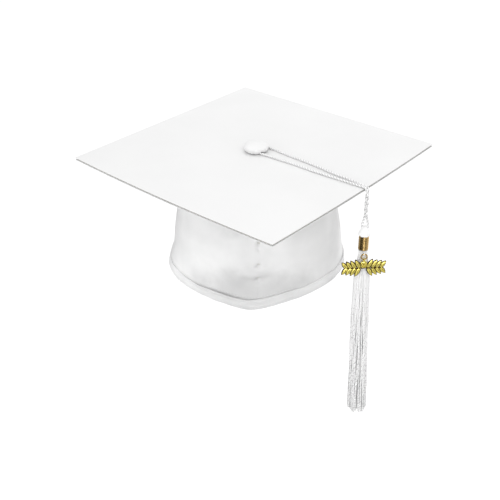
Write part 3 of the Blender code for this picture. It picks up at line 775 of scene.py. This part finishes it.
def crown_relief(phi, depth):
    """How far the satin stands out from the plain crown: soft dents, a roll over the hem in
    front, puckers at the seams and small gathers over the elastic."""
    spot = crown_point(phi, depth)
    calm = 0.45 + 0.55 * cos(phi) ** 2
    relief = calm * 0.0024 * noise.noise(spot * 27 + Vector((3.1, 0, 0)))
    relief += calm * 0.0012 * noise.noise(spot * 58)
    front = bump_at(seam_distance(phi, 0.0), 0.0, 0.8)
    tuck = min(1.0, max(0.0, (depth - 0.68) / 0.25))
    relief += front * (0.003 * bump_at(depth, 0.58, 0.2) - 0.003 * tuck * tuck * (3 - 2 * tuck))
    for at, width, dent_depth, dent in CROWN_DENTS:
        across = bump_at(seam_distance(phi, at), 0.0, width)
        relief -= dent * across * bump_at(depth, dent_depth, 0.14)
    for at in (FRONT_SEAM, pi):
        away = seam_distance(phi, at) * 0.07
        relief -= 0.00003 * bump_at(away, 0.0, 0.0008)
        pucker = sin(depth * 38 + 1.4 * sin(depth * 17))
        relief += 0.0007 * bump_at(away, 0.0, 0.011) * pucker
        for stitch_depth, pull in SEAM_PULLS:
            relief -= pull * bump_at(away, 0.0, 0.0019) * bump_at(depth, stitch_depth, 0.015)
    back = abs(seam_distance(phi, pi))
    reach = pi - CASING_EDGE + 0.12
    if back < reach:
        gather = max(0.0, (depth - 0.62) / 0.3) ** 2
        edge = min(1.0, (reach - back) / 0.15)
        relief += 0.0011 * gather * edge * sin(phi * 84 + 2 * sin(phi * 13))
    top_fade = min(1.0, depth / 0.05 + 0.15)
    return relief * top_fade


def crown_layer(name, node, look, phis, depths, inset, thickness):
    """One layer of the crown's wall, following the satin's dents at some distance inside."""
    verts = []
    for depth in depths:
        for phi in phis:
            verts.append(crown_point(phi, depth, crown_relief(phi, depth) - inset))
    faces = grid_faces(len(depths), len(phis), flip=phis[-1] > phis[0])
    layer = add_piece(name, (verts, faces), [look], "cap", [node])
    modifier = layer.modifiers.new("thickness", "SOLIDIFY")
    modifier.thickness = thickness
    modifier.offset = -1.0
    return layer


def add_crown_panels():
    """Left and right satin panels, the buckram behind them and the tapes over the seams."""
    share = np.linspace(0, 1, 190)
    share = share - 0.8 * np.sin(2 * pi * share) / (2 * pi)
    depths = np.linspace(0.0, HEM_START + 0.018, 96)
    lining_depths = np.linspace(0.012, HEM_START, 40)
    for side, sign in (("right", 1), ("left", -1)):
        round_head = FRONT_SEAM + (sign * pi - FRONT_SEAM) * share
        panel = crown_layer("crown_satin_" + side, "crown_panel_" + side,
                            "satin_crown", round_head, depths, 0.0, FABRIC)
        inner = sign * np.linspace(0.006, pi - 0.006, 100)
        crown_layer("crown_lining_" + side, "crown_stiffener_" + side,
                    "buckram", inner, lining_depths, FABRIC + 0.0002, 0.0007)
    for end, middle in (("front", 0.0), ("back", pi)):
        phis = np.linspace(middle - 0.045, middle + 0.045, 9)
        crown_layer(end + "_tape", end + "_seam_tape", "tape",
                    phis, lining_depths, FABRIC + 0.0011, 0.0005)
    paint("crown_top_seam", "tape")


def hem_profile(gather, lip):
    """The hem's section as (outward, share of its height), outside then inside.  The lip is
    how far its top edge stands off the panels."""
    puff = 0.001 + gather * 0.001
    return [(-0.0022, 0.42), (-0.0012, 0.36), (lip * 0.4, 0.28), (lip * 0.9 - 0.0001, 0.04),
            (0.0004 + lip, -0.02), (0.0007 + lip, 0.03), (0.0009 + lip * 0.8, 0.12),
            (0.0007 + lip * 0.5, 0.2),
            (puff * 0.85, 0.3), (puff, 0.44), (puff, 0.62), (puff * 0.9, 0.76),
            (0.0007, 0.83), (0.0009, 0.9), (0.0006, 0.97), (0.0001, 1.0), (-0.0006, 1.0),
            (-0.0013, 0.92), (-0.002, 0.7), (-0.0026, 0.55), (-0.0026, 0.42)]


def hem_ring(phis, gathered):
    """The folded hem along some of the rim, with a raised piping at its top edge."""
    verts = []
    columns = len(hem_profile(0, 0))
    height = 1 - HEM_START
    for phi in phis:
        middle = abs(seam_distance(phi, pi))
        ease = min(1.0, (pi - CASING_EDGE - middle) / 0.1) if gathered else 0.0
        ruffle = ease * sin(phi * 105 + 1.7 * sin(phi * 11))
        fine = ease * 0.4 * sin(phi * 240)
        lip = 0.0001 + 0.0021 * bump_at(seam_distance(phi, -0.45), 0.0, 0.32)
        panel = crown_relief(phi, HEM_START)
        for out, share in hem_profile(ease, lip):
            weight = sin(pi * min(1, max(0, share))) if share > 0.25 else 0.1
            swell = out + 0.0012 * (ruffle + fine) * weight * (1 if out > 0 else 0.4)
            swell += panel * max(0.0, 1 - share / 0.6)
            spot = crown_point(phi, HEM_START + height * share)
            ripple = 0.0004 * noise.noise(spot * 120 + Vector((0, 5, 0)))
            verts.append(crown_point(phi, HEM_START + height * share, swell + ripple))
    faces = grid_faces(len(phis), columns, close_columns=True)
    faces.append(tuple(range(columns)))
    faces.append(tuple(len(verts) - 1 - i for i in range(columns)))
    return verts, faces


def add_hem():
    """The hem round the front and sides, and the gathered casing at the back."""
    front = np.linspace(-CASING_EDGE + 0.002, CASING_EDGE - 0.002, 420)
    back = np.linspace(CASING_EDGE + 0.002, 2 * pi - CASING_EDGE - 0.002, 360)
    for name, node, phis, gathered in (("hem_front", "hem_band", front, False),
                                       ("hem_casing", "elastic_casing", back, True)):
        add_piece(name, hem_ring(phis, gathered), ["hem"], "cap", [node])
    add_hem_stitches()
    paint("elastic_band", "elastic")


def add_hem_stitches():
    """A row of machine stitches just above the hem's piping, and one near its lower edge."""
    pieces = []
    step = 0.003 / 0.085
    for depth, lift in ((HEM_START - 0.014, 0.0003), (0.988, 0.0008)):
        phi = -pi
        while phi < pi:
            points = []
            for k in (0.0, 0.5, 1.0):
                at = phi + step * 0.68 * k
                relief = crown_relief(at, depth) if depth < HEM_START else 0.0
                hump = 0.00012 * sin(pi * k)
                points.append(np.array(crown_point(at, depth, relief + lift - 0.0002 + hump)))
            pieces.append(tube(points, 0.00018, 5))
            phi += step
    add_piece("hem_stitches", joined(pieces), ["stitch"], "cap")


# ---- button

def add_button():
    """The satin-covered dome, its edge softly pleated underneath."""
    radius = (BUTTON_HIGH.x - BUTTON_LOW.x) / 2
    top = BUTTON_HIGH.z
    middle = BOARD_TOP + 0.0044
    low = BOARD_TOP + 0.0011
    profile = [(0, top)]
    for i in range(1, 15):
        angle = radians(90 - 90 * i / 14)
        profile.append((radius * cos(angle), middle + (top - middle) * sin(angle)))
    for share in (0.2, 0.4, 0.6, 0.8, 0.93, 1.0):
        profile.append((radius * (1 - 0.1 * share ** 2), middle + (low - middle) * share))
    profile += [(radius * 0.86, low + 0.0002), (radius * 0.8, low + 0.0012),
                (radius * 0.7, low + 0.0016), (0, low + 0.0016)]
    cords = (on_board(0.011, -0.004), on_board(0.006, 0.0104))
    exits = [atan2(y, x) for x, y, z in cords]

    def pleat(angle, r, z):
        below = max(0.0, (middle + 0.0006 - z) / 0.003)
        soft = 0.00008 * cos(3 * angle + 1)
        lift = sum(bump_at(seam_distance(angle, way), 0.0, 0.17) for way in exits)
        raised = z + 0.0017 * lift * min(1.0, below)
        return r + 0.0002 * below * cos(22 * angle) + soft * (r / radius), raised

    dome = turned(profile, 88, pleat)
    add_piece("button_satin", dome, ["satin"], "cap", ["button_cover"])
    for node in ("button_shell", "button_back_plate", "button_rivet", "rivet_washer"):
        paint(node, "tin")


# ---- cord

def on_board(along, across, height=CORD_REST):
    """A point over the board, in the cord's own directions."""
    spot = ALONG * along + ACROSS * across
    return np.array((spot.x, spot.y, BOARD_TOP + height))


def hanging_strand(sign):
    """One strand from the bend over the edge down into the tassel's head."""
    top, bottom = BOARD_TOP - 0.0042, BOARD_TOP - PAIR_END
    start = atan2(ACROSS.y, ACROSS.x) + (pi if sign < 0 else 0)
    points = []
    for t in np.linspace(0, 1, 44):
        angle = start + 2 * pi * PAIR_TURNS * t
        points.append((CROSSING.x + PAIR_HELIX * cos(angle),
                       CROSSING.y + PAIR_HELIX * sin(angle), top + (bottom - top) * t))
    split = SPLIT_END - PAIR_END
    for out, share in ((0.00125, 0.2), (0.002, 0.5), (0.0026, 0.85), (0.0026, 1.15)):
        points.append((CROSSING.x + sign * out, CROSSING.y, bottom - split * share))
    return points


CORD_ON_BOARD = in_metres((  # where the cord lies on the board, along and across it
    (100, -0.4), (74, -1.9), (48, -2.3), (22, -3.7), (4, -4.3), (-5, -2.8), (-8, 1.8),
    (-6.2, 6.8), (0.6, 10.2), (12, 10.7), (36, 9.2), (62, 8.2), (86, 5.8), (104, 4.9)))
CORD_SIDES = 16
CORD_TWIST = (0.0062, 0.3, 0.0)  # pitch, depth of the grooves and phase


def over_edge(across):
    """One strand's way up over the board's edge; the two draw together below it."""
    edge = EDGE_DISTANCE
    middle = CROSSING.dot(ACROSS)
    drawn = middle + (across - middle) * 0.8
    return [on_board(edge + 0.0026, drawn, -0.0016), on_board(edge + 0.0016, across, 0.0006),
            on_board(edge - 0.0002, across, 0.0015), on_board(edge - 0.003, across, 0.0014)]


def cord_route():
    """The whole cord: up one hanging strand, over the edge, round the rivet and back."""
    near = CROSSING.dot(ACROSS) - CORD_SIDE
    far = CROSSING.dot(ACROSS) + CORD_SIDE
    start = EDGE_DISTANCE - 0.006
    board = [(start, near - 0.0001), *CORD_ON_BOARD, (start, far + 0.0003)]
    stops = hanging_strand(-1)[::-1] + over_edge(near)
    stops += [on_board(*spot) for spot in board]
    stops += over_edge(far)[::-1] + hanging_strand(1)
    return smooth_route(stops, 0.00045)


def add_cord():
    """The tassel's cord: one length of two-ply twisted rayon."""
    route = cord_route()
    verts, faces = tube(route, CORD_DIAMETER / 2, CORD_SIDES, CORD_TWIST)
    # faces in the twist grooves take the painted groove shade
    tones = groove_tones(along_lengths(route)[:-1], CORD_SIDES, CORD_TWIST, 0.7, faces)
    cord = add_mesh("tassel_cord", verts, faces, ["cord", "cord_groove"], tones)
    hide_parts("cord_loop", "cord_bend", "cord_twisted_pair", "cord_end_left",
                "cord_end_right")
    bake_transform(cord)


# ---- tassel

def below_board(radius, depth):
    """A profile point of the tassel from its depth below the board's top."""
    return (radius, BOARD_TOP - depth)


HEAD_SHAPE = in_metres((  # radius, and height over the tassel's pivot
    (0, 3.4), (1.2, 3.2), (2, 2.6), (2.7, 1.6), (3.3, 0.4), (3.9, -0.8), (4.5, -2), (5, -3.2),
    (5.4, -4.3), (5.6, -5), (5.5, -5.4), (5, -5.7), (4.5, -5.9), (3.8, -6), (0, -6)))


def add_tassel_head():
    """The bulb over the ferrule: yarn drawn down over a knot."""
    profile = [(radius, SWAY_PIVOT.z + rise) for radius, rise in HEAD_SHAPE]

    def yarn(angle, r, z):
        drape = 1.4 * (z - SWAY_PIVOT.z) / 0.008
        lobe = abs(sin(14 * angle + drape))
        fold = min(1.0, max(0.0, (SWAY_PIVOT.z - 0.0018 - z) / 0.003))
        pleat = 0.1 * fold * abs(sin(4 * angle + 0.8))
        return r * (0.95 - 0.07 * fold + 0.05 * lobe + pleat), z

    add_piece("tassel_bulb", turned(profile, 168, yarn), ["fringe"], "tassel",
              ["tassel_head"], place=TASSEL_AXIS)


def add_ferrule():
    """The gold sleeve: rolled ribs with dark antiquing between them."""
    top = HEAD_END + 0.0003
    pitch = (FERRULE_END - top) / FERRULE_RIBS
    inner = FERRULE_RADIUS - 0.0008
    groove = FERRULE_RADIUS - 0.0005
    profile, dark = [below_board(inner, top)], []
    for i in range(FERRULE_RIBS):
        for k in range(8):
            bulge = sin(pi * k / 8) ** 0.6
            profile.append(below_board(groove + 0.0005 * bulge, top + pitch * (i + k / 8)))
            dark.append(k in (0, 7))
    profile += [below_board(groove, FERRULE_END), below_board(inner, FERRULE_END),
                below_board(inner, (top + FERRULE_END) / 2)]
    steps = 72
    verts, faces = turned_ring(profile, steps)
    patina = np.zeros(len(faces), int)
    for row, is_dark in enumerate(dark, start=1):
        if is_dark:
            patina[row * steps:(row + 1) * steps] = 1
    patina[(len(dark) + 1) * steps:] = 1
    add_piece("ferrule_gold", (verts, faces), ["old_gold", "patina"], "tassel",
              ["tassel_ferrule"], patina, TASSEL_AXIS)


FRINGE_SHAPE = in_metres((  # depth below the board's top, and the bundle's radius there
    (46, 3.5), (60.2, 3.5), (61.8, 3.7), (63.6, 3.9), (66.8, 4.2), (70.5, 4.7), (76.5, 5.8),
    (84, 6.7), (92, 7.3), (100, 7.6), (125, 8), (180, 8.6), (256, 9.6)))
FRINGE_TOP = 0.046
CORE_END = 0.24
FRINGE_RINGS = (  # threads in each ring from the outside, share of the radius, twisted or not
    (46, 0.95, True), (38, 0.84, True), (24, 0.6, False), (12, 0.3, False))
YARN_SIDES = 8
YARN_PITCH = 0.0064  # length of one full twist of a yarn's two plies
YARN_GROOVE = 0.36  # depth of the groove between them, as a share of the radius
FRINGE_LEAN = 0.0062  # drift of the fringe's end to +X


def fringe_radius(depth):
    """Radius of the whole bundle at a depth below the board's top."""
    depths, radii = zip(*FRINGE_SHAPE)
    return float(np.interp(depth, depths, radii))


def fringe_lean(depth):
    """How far to +X the limp bundle has drifted at a depth."""
    return FRINGE_LEAN * max(0.0, (depth - FERRULE_END) / (TASSEL_END - FERRULE_END)) ** 1.2


def fringe_thread(share, angle, rng, fine):
    """One thread: its place across the bundle stays much the same all the way down."""
    end = TASSEL_END - rng.uniform(0.0, 0.005) - 0.005 * rng.random() ** 3
    drift = rng.uniform(-0.45, 0.45)
    wander = rng.uniform(0, 50)
    points = []
    for depth in np.arange(FRINGE_TOP, end, 0.003):
        t = (depth - FRINGE_TOP) / (TASSEL_END - FRINGE_TOP)
        radius = fringe_radius(depth) * share
        around = angle + drift * t * t
        loose = 0.0012 * min(1.0, max(0.0, (depth - 0.075) / 0.06))
        dx = loose * noise.noise(Vector((wander, depth * 26, 0)))
        dy = loose * noise.noise(Vector((wander, depth * 26, 9)))
        points.append((CROSSING.x + radius * cos(around) + dx + fringe_lean(depth),
                       CROSSING.y + radius * sin(around) + dy, BOARD_TOP - depth))
    thick = rng.uniform(0.85, 1.15) * (0.00056 if fine else 0.00062 + 0.0008 * (0.62 - share))

    def taper(t):
        depth = FRINGE_TOP + t * (end - FRINGE_TOP)
        return np.interp(depth, (FRINGE_TOP, 0.066, 0.085), (0.5, 0.56, 1.0))

    if not fine:
        thread = tube(points, thick, 6, taper=taper)
        return thread, [0] * len(thread[1])
    line = smooth_route(points, 0.0009)
    twist = (YARN_PITCH, YARN_GROOVE, rng.random())
    thread = tube(line, thick, YARN_SIDES, twist, taper)
    lengths = along_lengths(line)[:-1]
    # painted shade in the twist grooves, opening wider lower down the fringe
    open_width = np.interp(lengths, (0.05, 0.12, 0.2), (0.0, 0.13, 0.46))
    tones = groove_tones(lengths, YARN_SIDES, twist, open_width[:, None], thread[1])
    return thread, list(tones)


def fringe_core():
    """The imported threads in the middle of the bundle, as one ridged body."""
    stops = [(0.0, FRINGE_TOP)]
    for depth in np.arange(FRINGE_TOP, CORE_END, 0.004):
        share = np.interp(depth, (0.1, 0.24), (0.84, 0.52))
        stops.append((share * fringe_radius(depth), depth))
    stops.append((0.0, CORE_END))

    def ridges(angle, r, z):
        lobe = abs(sin(17 * angle + 60 * z + 0.6 * sin(200 * z)))
        return r * (0.9 + 0.1 * lobe), z

    verts, faces = turned([below_board(r, d) for r, d in stops], 136, ridges)
    for vert in verts:
        vert += (CROSSING.x + fringe_lean(BOARD_TOP - vert[2]), CROSSING.y, 0)
    return verts, faces


def add_fringe():
    """The fringe: outer threads twisted in full detail, inner ones plainer."""
    rng = np.random.default_rng(7)
    pieces = [fringe_core()]
    tones = [0] * len(pieces[0][1])
    for ring, (count, share, fine) in enumerate(FRINGE_RINGS):
        for i in range(count):
            angle = 2 * pi * (i + rng.uniform(-0.35, 0.35)) / count + ring
            place = share + rng.uniform(-0.05, 0.035)
            thread, thread_tones = fringe_thread(place, angle, rng, fine)
            pieces.append(thread)
            tones += thread_tones
    # its second look is painted shade in the yarns' grooves
    add_piece("fringe_threads", joined(pieces), ["fringe", "fringe_groove"], "tassel",
              ["tassel_fringe"], tones)


# ---- charm

def leaf(length, width):
    """A small cast leaf lying along +X: domed halves, a vein and a dark outline."""
    rows, columns = 17, 13
    across = np.linspace(-1, 1, columns)
    verts, dark = [], []
    for i in range(rows):
        t = i / (rows - 1)
        half = width / 2 * (sin(pi * min(1.0, 0.06 + 0.94 * t) ** 0.85)) ** 0.75
        half = max(half, 0.00008)
        for v in across:
            dome = 0.0008 * (1 - abs(v)) ** 0.35 * sin(pi * (0.1 + 0.85 * t)) ** 0.5
            vein = 0.00028 * exp(-(v / 0.13) ** 2) * (1 - t)
            verts.append((length * t, half * v, 0.0003 + dome - vein))
    front = grid_faces(rows, columns)
    base = len(verts)
    verts += [(x, y, -0.0006) for x, y, z in verts]
    back = grid_faces(rows, columns, start=base, flip=True)
    rim = grid_border(rows, columns)
    sides = loop_faces(rim, rim + base)
    for face in range(len(front)):
        row, column = divmod(face, columns - 1)
        edge = min(column, columns - 2 - column) < 2 or row == 0 or row > rows - 4
        vein = column == columns // 2 and row < rows - 8
        dark.append(1 if edge or vein else 0)
    dark += [1] * (len(back) + len(sides))
    return (np.array(verts), front + back + sides), dark


def ball(radius, centre):
    """A small sphere."""
    profile = []
    for i in range(9):
        angle = pi / 2 - pi * i / 8
        profile.append((radius * cos(angle) if 0 < i < 8 else 0.0, radius * sin(angle)))
    return moved(turned(profile, 14), Matrix.Translation(centre))


EDGE_ON = Matrix.Rotation(radians(90), 4, "Y")
RING_RADIUS = 0.0027
RING_WIRE = 0.00068
STEM_Y = -0.0137  # heights of the stem, the disc and the bail in the charm's own frame
DISC_Y = -0.0106
BAIL_Y = -0.0057
DISC_SHAPE = in_metres((  # radius, height
    (0, 0.8), (2, 0.75), (3.1, 0.6), (3.5, 0.3), (3.6, -0.3), (3.4, -0.6), (0, -0.6)))


def charm_pieces():
    """The laurel spray in its own frame: x across, y up, z towards the viewer."""
    stem = tube([(x, STEM_Y + 0.0004 * sin(x * 300), 0.0002)
                 for x in np.linspace(-0.0172, 0.0172, 33)], 0.00062, 8)
    pieces, dark = [stem], [1] * len(stem[1])
    for sign in (-1, 1):
        for k in range(4):
            x = sign * (0.0035 + 0.00385 * k)
            lean = radians(90 - sign * (28 + 4 * k))
            shape, tones = leaf((0.0104 - 0.0006 * k) * 0.93, 0.0044)
            for half in (-1, 1):
                turn = Matrix.Translation((x, STEM_Y, 0.0001 * (k % 2)))
                turn = turn @ Matrix.Rotation(half * lean, 4, "Z")
                pieces.append(moved(shape, turn))
                dark += tones
    bright = [moved(turned(DISC_SHAPE, 40), Matrix.Translation((0, DISC_Y, 0)))]
    for angle in np.arange(6) * pi / 3:
        place = (0.0021 * cos(angle), DISC_Y + 0.0021 * sin(angle), 0.0009)
        bright.append(ball(0.00078, place))
    bright.append(ball(0.0009, (0, DISC_Y, 0.001)))
    bail_place = Matrix.Translation((0, BAIL_Y, 0)) @ EDGE_ON
    bright.append(moved(ring_of_wire(0.00135, 0.00045, 24, 10), bail_place))
    dark += [0] * sum(len(faces) for verts, faces in bright)
    return pieces + bright, dark


def add_charm():
    """Jump ring and laurel charm, leaning out over the fringe."""
    tilt = Matrix.Translation(CHARM_PIVOT) @ Matrix.Rotation(radians(-6), 4, "X")
    stand = tilt @ Matrix.Rotation(radians(90), 4, "X")
    pieces, dark = charm_pieces()
    spray = joined([moved(piece, stand) for piece in pieces])
    add_piece("laurel_gold", spray, ["gold", "patina"], "charm",
              ["laurel_charm"], dark)
    ring_place = stand @ Matrix.Translation((0, -RING_RADIUS, 0))
    ring = moved(ring_of_wire(RING_RADIUS, RING_WIRE, 48, 12), ring_place)
    add_piece("jump_ring_gold", ring, ["old_gold"], "charm", ["jump_ring"])


def add_charm_thread():
    """The thread round the tassel's neck and the eye that holds the ring."""
    neck_place = Matrix.Translation((CROSSING.x, CROSSING.y, BOARD_TOP - TIE_DEPTH))
    neck = moved(ring_of_wire(0.0043, 0.0004, 48, 8), neck_place)
    eye_place = Matrix.Translation((CROSSING.x, CROSSING.y - 0.00615, BOARD_TOP - EYE_DEPTH))
    eye = moved(ring_of_wire(0.0015, 0.00035, 32, 8), eye_place @ EDGE_ON)
    tie = joined([neck, eye])
    add_piece("charm_tie", tie, ["cord"], "tassel", ["charm_thread"])


# ---- whole scene


def main():
    """Camera and cords first, then the pieces."""
    add_camera()
    make_materials()
    add_cord()
    add_world()
    add_floor()
    for light in LIGHTS:
        add_area(*light)
    add_board()
    add_crown_panels()
    add_hem()
    add_button()
    add_tassel_head()
    add_ferrule()
    add_fringe()
    add_charm_thread()
    add_charm()
    bpy.context.scene.view_settings.view_transform = "Standard"


main()
